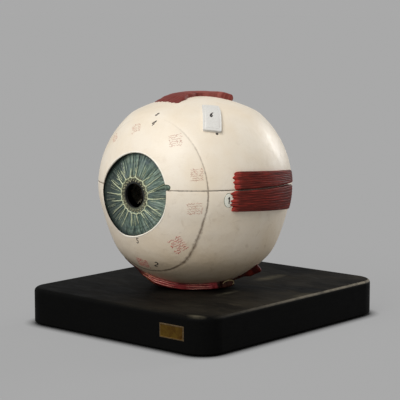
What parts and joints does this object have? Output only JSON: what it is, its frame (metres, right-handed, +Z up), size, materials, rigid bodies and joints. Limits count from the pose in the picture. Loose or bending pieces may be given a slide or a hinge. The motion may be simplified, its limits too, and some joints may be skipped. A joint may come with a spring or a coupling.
{
  "type": "eye anatomy model",
  "caption": "Take-apart teaching model of a human eye on a rectangular board: lift-off upper half, pull-off front caps, iris disc, lens and vitreous body.",
  "frame": {"origin": "middle of the board's underside, where the model stands", "axes": "+Z up; the eye looks along -Y; +X is the nasal side of this right eye"},
  "size_m": [0.178, 0.2044, 0.1705],
  "materials": {
    "board": "black satin lacquer, worn",
    "turned_wood": "plain turned hardwood",
    "plate_brass": "aged and tarnished",
    "pin_brass": "drawn rod",
    "screw_steel": "zinc-plated steel",
    "sclera_paint": "cast resin with ivory satin paint",
    "choroid_paint": "dark red-brown paint",
    "retina_paint": "orange-yellow paint with fine vessels",
    "ciliary_paint": "dark brown folded ring",
    "muscle_paint": "dark red-brown satin paint, ridged",
    "tendon_paint": "pale bluish grey paint",
    "iris_paint": "blue-green and cream streaks under varnish",
    "vitreous_clear": "clear polished resin",
    "lens_clear": "clear polished resin",
    "nerve_paint": "pale yellow paint",
    "vessel_paint": "red paint"
  },
  "bodies": {
    "base_and_lower_half": {"base_block": "board", "name_plate": "plate_brass", "base_screw": "screw_steel", "screw_washer": "screw_steel", "threaded_insert": "pin_brass", "ball_seat": "turned_wood", "sclera_lower": "sclera_paint", "choroid_lower": "choroid_paint", "retina_lower": "retina_paint", "ciliary_ring_lower": "ciliary_paint", "optic_nerve_sheath": "nerve_paint", "optic_nerve_core": "nerve_paint", "nerve_vessels": "vessel_paint", "inferior_rectus": "muscle_paint", "inferior_oblique": "muscle_paint", "medial_rectus_lower": "muscle_paint", "lateral_rectus_lower": "muscle_paint", "parting_pins": "pin_brass", "cap_pins_lower": "pin_brass"},
    "upper_half": {"sclera_upper": "sclera_paint", "choroid_upper": "choroid_paint", "retina_upper": "retina_paint", "ciliary_ring_upper": "ciliary_paint", "superior_rectus": "muscle_paint", "superior_oblique_tendon": "tendon_paint", "medial_rectus_upper": "muscle_paint", "lateral_rectus_upper": "muscle_paint", "cap_pins_upper": "pin_brass"},
    "upper_cap": {"front_cap_upper": "sclera_paint"},
    "lower_cap": {"front_cap_lower": "sclera_paint"},
    "iris": {"iris_disc": "iris_paint"},
    "vitreous": {"vitreous_body": "vitreous_clear"},
    "lens_piece": {"lens": "lens_clear"}
  },
  "joints": [
    {"name": "upper_half_lift", "type": "slide", "parent": "base_and_lower_half", "child": "upper_half", "axis": [0, 0, 1], "range_m": [0, 0.14]},
    {"name": "lower_cap_pull", "type": "slide", "parent": "base_and_lower_half", "child": "lower_cap", "axis": [0, -1, 0], "range_m": [0, 0.06]},
    {"name": "upper_cap_pull", "type": "slide", "parent": "upper_half", "child": "upper_cap", "axis": [0, -1, 0], "range_m": [0, 0.06]},
    {"name": "iris_lift", "type": "slide", "parent": "lower_cap", "child": "iris", "axis": [0, 0, 1], "range_m": [0, 0.042]},
    {"name": "vitreous_lift", "type": "slide", "parent": "base_and_lower_half", "child": "vitreous", "axis": [0, 0, 1], "range_m": [0, 0.073]},
    {"name": "lens_draw", "type": "slide", "parent": "vitreous", "child": "lens_piece", "axis": [0, -1, 0], "range_m": [0, 0.03]}
  ],
  "couplings": [
    {"joint": "upper_cap_pull", "follows": "lower_cap_pull", "ratio": 1},
    {"joint": "iris_lift", "follows": "upper_half_lift", "ratio": 0.29},
    {"joint": "vitreous_lift", "follows": "upper_half_lift", "ratio": 0.52},
    {"joint": "lens_draw", "follows": "lower_cap_pull", "ratio": 0.5}
  ]
}
